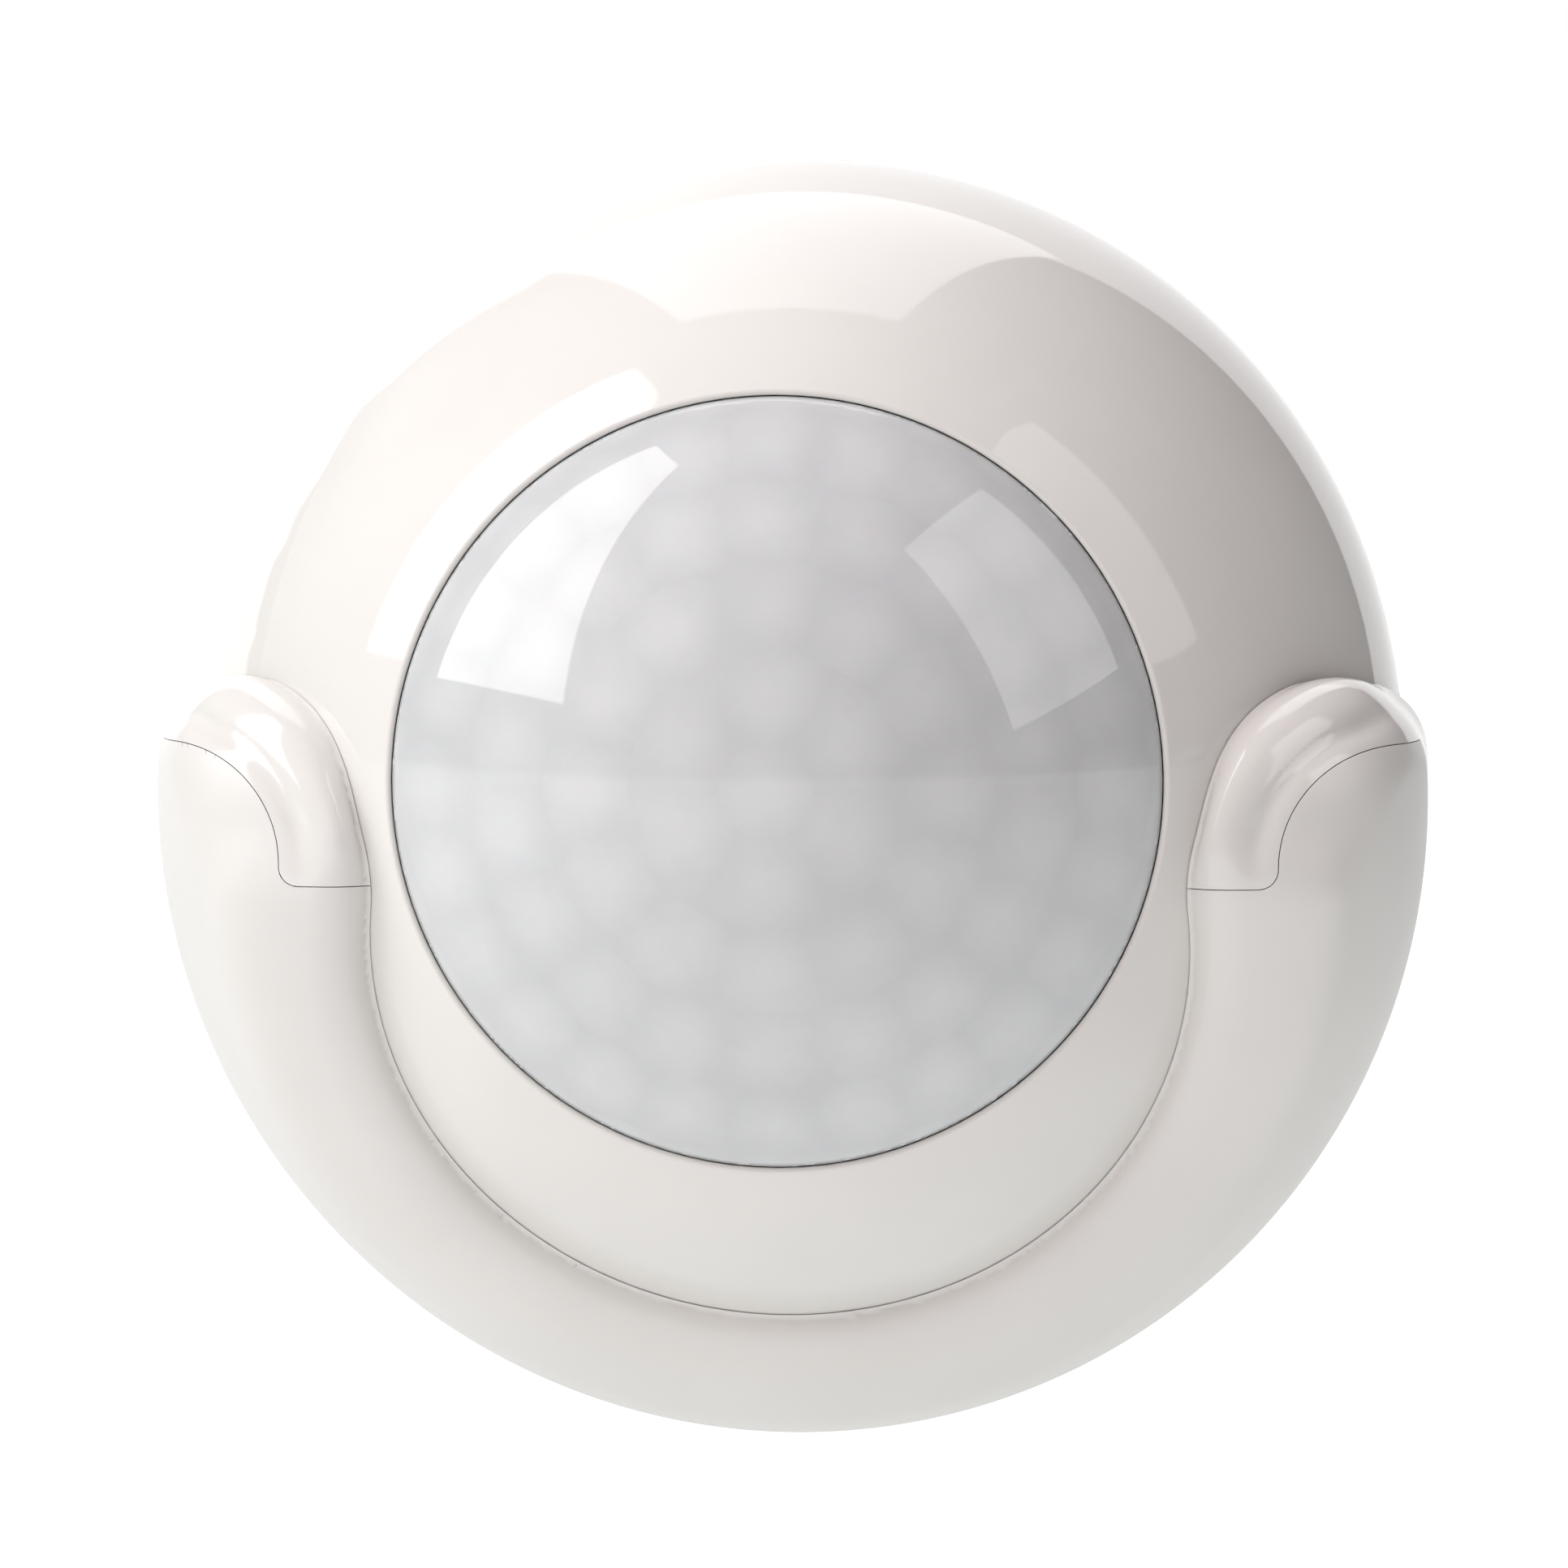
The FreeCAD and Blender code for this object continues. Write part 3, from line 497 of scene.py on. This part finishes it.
def arm_outline(y, z):
    """Side view of the cradle: leaning front, round arm corners, sloping rim of the bowl."""
    along, _ = leaning(y, z)
    top = z - TOP_Z
    py, pz = y - CORNER[0], z - CORNER[1]
    in_corner = (py < 0) & (leaning(py, pz)[1] > 0)
    front = np.where(in_corner, np.hypot(py, pz) - CORNER_R, np.maximum(along - CREST, top))
    hy, hz = y - HEEL_Y, z - (TOP_Z - HEEL_R)
    heel = np.where((hy > 0) & (hz > 0), np.hypot(hy, hz) - HEEL_R, np.maximum(hy - HEEL_R, top))
    run, fall = BOWL_END[0] - BOWL_START[0], BOWL_START[1] - BOWL_END[1]
    slope = ((y - BOWL_START[0]) * fall + (z - BOWL_START[1]) * run) / math.hypot(run, fall)
    low = np.minimum(slope, z - BOWL_END[1])
    return np.maximum(front, either(heel, low, HEEL_FOOT_R))


def tongue_outline(x, z):
    """Front view of the tongues that rise from the cover inside the hoods."""
    px, pz = TONGUE[0] - np.abs(x), z - TONGUE[1]
    return np.where((px > 0) & (pz > 0), np.hypot(px, pz), np.maximum(px, pz)) - TONGUE_R


def hump(value, height, middle, width):
    """Smooth ridge of this height across a measure."""
    return height * np.exp(-((value - middle) / width) ** 2)


def cradle_body(x, y, z):
    """Leaning egg in front, seat behind, bead along the opening, hoods grooved round the tongues."""
    along, up = leaning(y, z)
    r = np.sqrt(x * x + y * y + z * z)
    nose = along - EGG_WIDEST
    egg = ellipsoid(x, up - EGG_LIFT, nose, EGG_SIDE, EGG_UP, np.where(nose > 0, EGG_NOSE, EGG_TAIL))
    seat = ellipsoid(x, y, z, *SEAT_RADII)
    outer = seat + (egg - seat) * ramp(along, *SEAT_TO_EGG)
    outline = arm_outline(y, z)
    hood = ramp(z, *BOWL_TO_HOOD)
    bead = hump(-outline, *BEAD) * ramp(z, *BEAD_START) * (1 - hood)
    border = tongue_outline(x, z)
    tube = hood * (hump(border, *TUBE) - hump(border, *GROOVE))
    tube = tube * (1 - ramp(np.abs(x), *TUBE_FADE))
    outer = outer - ramp(along, *RELIEF_START) * (bead + tube)
    height = np.clip((r - CAVITY) / (WALL - HOOD_THINNING * hood), 0, 1)
    set_back = RIM_BACK - HOOD_RIM_FORWARD * ramp(z, *RIM_FORWARD_START)
    front = outline + set_back * (1 - height) ** RIM_POWER
    rounding = np.maximum(ramp(along, *BEHIND_TO_OPENING), SIDE_ROUNDING * ramp(z, *SIDE_START))
    return both(outer, front, EDGE_R + (OPENING_R + HOOD_R * hood) * rounding)


def cover_zone(x, y, z):
    """Room taken by the cover: below the seam, and the two tongues as an outside layer."""
    along, _ = leaning(y, z)
    r = np.sqrt(x * x + y * y + z * z)
    tongue = np.maximum(tongue_outline(x, z), CAVITY + TONGUE_DEPTH - r)
    return np.maximum(either(z - SEAM_Z, tongue, TONGUE_FOOT_R), PARTING - along)


def cavity(x, y, z):
    """Round socket, with a lip along the opening that closes in on the head."""
    lip = LIP * (1 - ramp(-arm_outline(y, z), *LIP_FADE))
    return CAVITY - lip - np.sqrt(x * x + y * y + z * z)


def cradle_with_neck(x, y, z):
    """The cradle's outside together with the round neck behind it."""
    ends = np.maximum(y - NECK_END, NECK_START - y)
    neck = both(np.hypot(x, z - NECK_Z) - NECK_R, ends, NECK_EDGE_R)
    return either(cradle_body(x, y, z), neck, NECK_FOOT_R)


def outside_cover(x, y, z):
    """Negative where the yoke may be: clear of the cover by an open seam that closes up below."""
    open_gap = 1 - ramp(-cradle_body(x, y, z), *SEAM_DEPTH)
    return CLOSED_GAP + (SEAM_GAP - CLOSED_GAP) * open_gap - cover_zone(x, y, z)


def outside_pins(x, y, z):
    """Clear of the tilt pins."""
    return PIN_R - np.hypot(y, z) + 0 * x


def outside_socket(x, y, z):
    """Clear of the bayonet socket: a mouth and a wider chamber inside it."""
    across = np.hypot(x, z - NECK_Z)
    mouth = np.maximum(across - SOCKET_R, SOCKET_Y - y)
    chamber = np.maximum(np.maximum(across - CHAMBER_R, SOCKET_Y - y), y - CHAMBER_END)
    return -np.minimum(mouth, chamber)


def solid_mesh(name, walls, low, high, grid_step=GRID):
    """Mesh of the space where every wall function is negative, with crisp edges between walls.

    A grid finds the cells that the surface crosses, each such cell gets one point, and the
    points are then moved onto the exact surface, or onto the edge where two walls meet.
    """
    axes = [np.arange(a, b + grid_step, grid_step, dtype=np.float32) for a, b in zip(low, high)]
    field = sampled(walls, axes)
    inside = field < 0
    cells = crossed_cells(inside)
    ids = np.full([n - 1 for n in field.shape], -1, np.int64)
    ids[tuple(cells.T)] = np.arange(len(cells))
    points = first_points(field, cells) * grid_step + np.array([a[0] for a in axes])
    points = settle(points, walls, grid_step)
    return shaded_mesh(name, points, faces_between(inside, ids), walls)


def sampled(walls, axes):
    """Largest wall value at every corner of the grid."""
    grid = np.meshgrid(*axes, indexing="ij", sparse=True)
    field = walls[0](*grid)
    for wall in walls[1:]:
        field = np.maximum(field, wall(*grid))
    return np.broadcast_to(field, [len(a) for a in axes]).astype(np.float32)


def crossed_cells(inside):
    """Grid cells that have some corners inside and some outside."""
    nx, ny, nz = [n - 1 for n in inside.shape]
    count = np.zeros((nx, ny, nz), np.uint8)
    for i, j, k in np.ndindex(2, 2, 2):
        count += inside[i:nx + i, j:ny + j, k:nz + k]
    return np.argwhere((count > 0) & (count < 8))


def first_points(field, cells):
    """Mean place where the surface crosses the edges of each cell, in grid steps."""
    total = np.zeros((len(cells), 3))
    hits = np.zeros((len(cells), 1))
    for axis in range(3):
        others = [n for n in range(3) if n != axis]
        for i, j in np.ndindex(2, 2):
            start = cells.copy()
            start[:, others[0]] += i
            start[:, others[1]] += j
            end = start.copy()
            end[:, axis] += 1
            a = field[tuple(start.T)]
            b = field[tuple(end.T)]
            crossed = (a < 0) != (b < 0)
            point = start.astype(float)
            point[:, axis] += np.where(crossed, a / np.where(crossed, a - b, 1), 0)
            total += point * crossed[:, None]
            hits += crossed[:, None]
    return total / hits


def faces_between(inside, ids):
    """A face for every grid edge that the surface crosses, joining the four cells round it."""
    faces = []
    for axis in range(3):
        others = [(axis + 1) % 3, (axis + 2) % 3]
        first = [slice(None)] * 3
        second = [slice(None)] * 3
        first[axis] = slice(0, -1)
        second[axis] = slice(1, None)
        crossing = np.argwhere(inside[tuple(first)] != inside[tuple(second)])
        for other in others:
            row = crossing[:, other]
            crossing = crossing[(row > 0) & (row < inside.shape[other] - 1)]
        ring = []
        for i, j in ((-1, -1), (0, -1), (0, 0), (-1, 0)):
            cell = crossing.copy()
            cell[:, others[0]] += i
            cell[:, others[1]] += j
            ring.append(ids[tuple(cell.T)])
        quads = np.stack(ring, axis=1)
        turned = ~inside[tuple(crossing.T)]
        quads[turned] = quads[turned][:, ::-1]
        faces.append(quads)
    return np.concatenate(faces)


def slopes(wall, points):
    """Gradient of a wall function at each point."""
    reach = 0.02
    found = np.empty_like(points)
    for axis in range(3):
        ahead, behind = points.copy(), points.copy()
        ahead[:, axis] += reach
        behind[:, axis] -= reach
        found[:, axis] = (wall(*ahead.T) - wall(*behind.T)) / (2 * reach)
    return found


def settle(points, walls, grid_step):
    """Moves points onto the surface, and onto every wall within reach where walls meet."""
    for _ in range(5):
        values = np.stack([wall(*points.T) * np.ones(len(points)) for wall in walls])
        near = values > values.max(axis=0) - NEAR_WALL * grid_step
        for wall, value, active in zip(walls, values, near):
            chosen = active & (np.abs(value) < 2 * grid_step)
            if chosen.any():
                slope = slopes(wall, points[chosen])
                size = np.maximum((slope ** 2).sum(axis=1, keepdims=True), 0.05)
                step = wall(*points[chosen].T)[:, None] * slope / size
                points[chosen] -= np.clip(step, -grid_step, grid_step)
    return points


def shaded_mesh(name, points, faces, walls):
    """Blender mesh whose normals come from the wall that each face lies on."""
    centres = points[faces].mean(axis=1)
    owner = np.stack([wall(*centres.T) * np.ones(len(centres)) for wall in walls]).argmax(axis=0)
    normals = np.zeros((len(faces), 4, 3))
    for index, wall in enumerate(walls):
        mine = owner == index
        if mine.any():
            slope = slopes(wall, points[faces[mine]].reshape(-1, 3))
            slope /= np.maximum(np.linalg.norm(slope, axis=1, keepdims=True), 1e-9)
            normals[mine] = slope.reshape(-1, 4, 3)
    place = np.array(HEAD)
    mesh = bpy.data.meshes.new(name)
    mesh.from_pydata((points * MM + place).tolist(), [], faces.tolist())
    mesh.polygons.foreach_set("use_smooth", np.ones(len(mesh.polygons), dtype=bool))
    mesh.normals_split_custom_set(normals.reshape(-1, 3).tolist())
    mesh.update()
    piece = bpy.data.objects.new(name, mesh)
    bpy.context.scene.collection.objects.link(piece)
    return piece


def lens_cells(x, y, z):
    """How near each point is to the middle of its lens cell: 1 in the middle, 0 at the joints."""
    polar = np.degrees(np.arctan2(np.hypot(x, z), DOME_Y - y)) / CELL_PITCH
    ring = np.round(polar)
    share = np.arctan2(x, z) / (2 * math.pi) * np.maximum(CELLS_IN_FIRST_RING * ring, 1)
    aside = np.where(ring > 0, share - np.round(share), 0)
    off = np.hypot(polar - ring, aside * np.minimum(ring, 1))
    return 1 - ramp(off, *CELL_EDGE)


def lens_solid(x, y, z):
    """Domed lens with cells moulded inside it, a straight rim and a flange behind the bezel."""
    off_axis = np.hypot(x, z)
    reach = np.sqrt(x * x + (y - DOME_Y) ** 2 + z * z)
    inner = reach - (DOME_R - LENS_WALL - CELL_DEPTH * lens_cells(x, y, z))
    hollow = np.maximum(inner, off_axis - (LENS_R - LENS_WALL))
    dome = both(reach - DOME_R, off_axis - LENS_R, DOME_EDGE_R)
    skirt = np.maximum(off_axis - LENS_R - SKIRT_GAP, SKIRT_Y - y)
    dome = np.maximum(np.maximum(np.minimum(dome, skirt), y - FLANGE_Y - FLANGE_T), -hollow)
    thickness = np.abs(y - FLANGE_Y - FLANGE_T / 2) - FLANGE_T / 2
    ring = np.maximum(off_axis - FLANGE_R, LENS_R - LENS_WALL - off_axis)
    return np.minimum(dome, np.maximum(thickness, ring))


def lens_piece(made):
    """The lens as its own piece, in place of the CAD lens."""
    piece = solid_mesh("lens_dome", [lens_solid], (-21.2, -33.2, -21.2), (21.2, -19.9, 21.2), LENS_GRID)
    piece.data.materials.append(made["lens_milky"])
    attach(piece, "head")
    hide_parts("fresnel_lens")


def cradle_pieces(made):
    """The satin cover and the glossy yoke, in place of their CAD nodes."""
    cover = solid_mesh("crescent_cover", [cradle_body, cavity, cover_zone],
                       (-33, -28.5, -36), (33, 2, 6))
    yoke = solid_mesh("yoke_shell", [cradle_with_neck, cavity, outside_cover, outside_pins, outside_socket],
                      (-33, -27, -36), (33, 34, 6))
    for piece, node, slot in ((cover, "cradle_cover", "cover_satin"), (yoke, "cradle_yoke", "yoke_gloss")):
        piece.data.materials.append(made[slot])
        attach(piece, "cradle")
        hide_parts(node)


finishes = materials()
dress(finishes)
cradle_pieces(finishes)
lens_piece(finishes)
studio()
floor()
surroundings()
camera()
bpy.context.scene.view_settings.view_transform = "Standard"
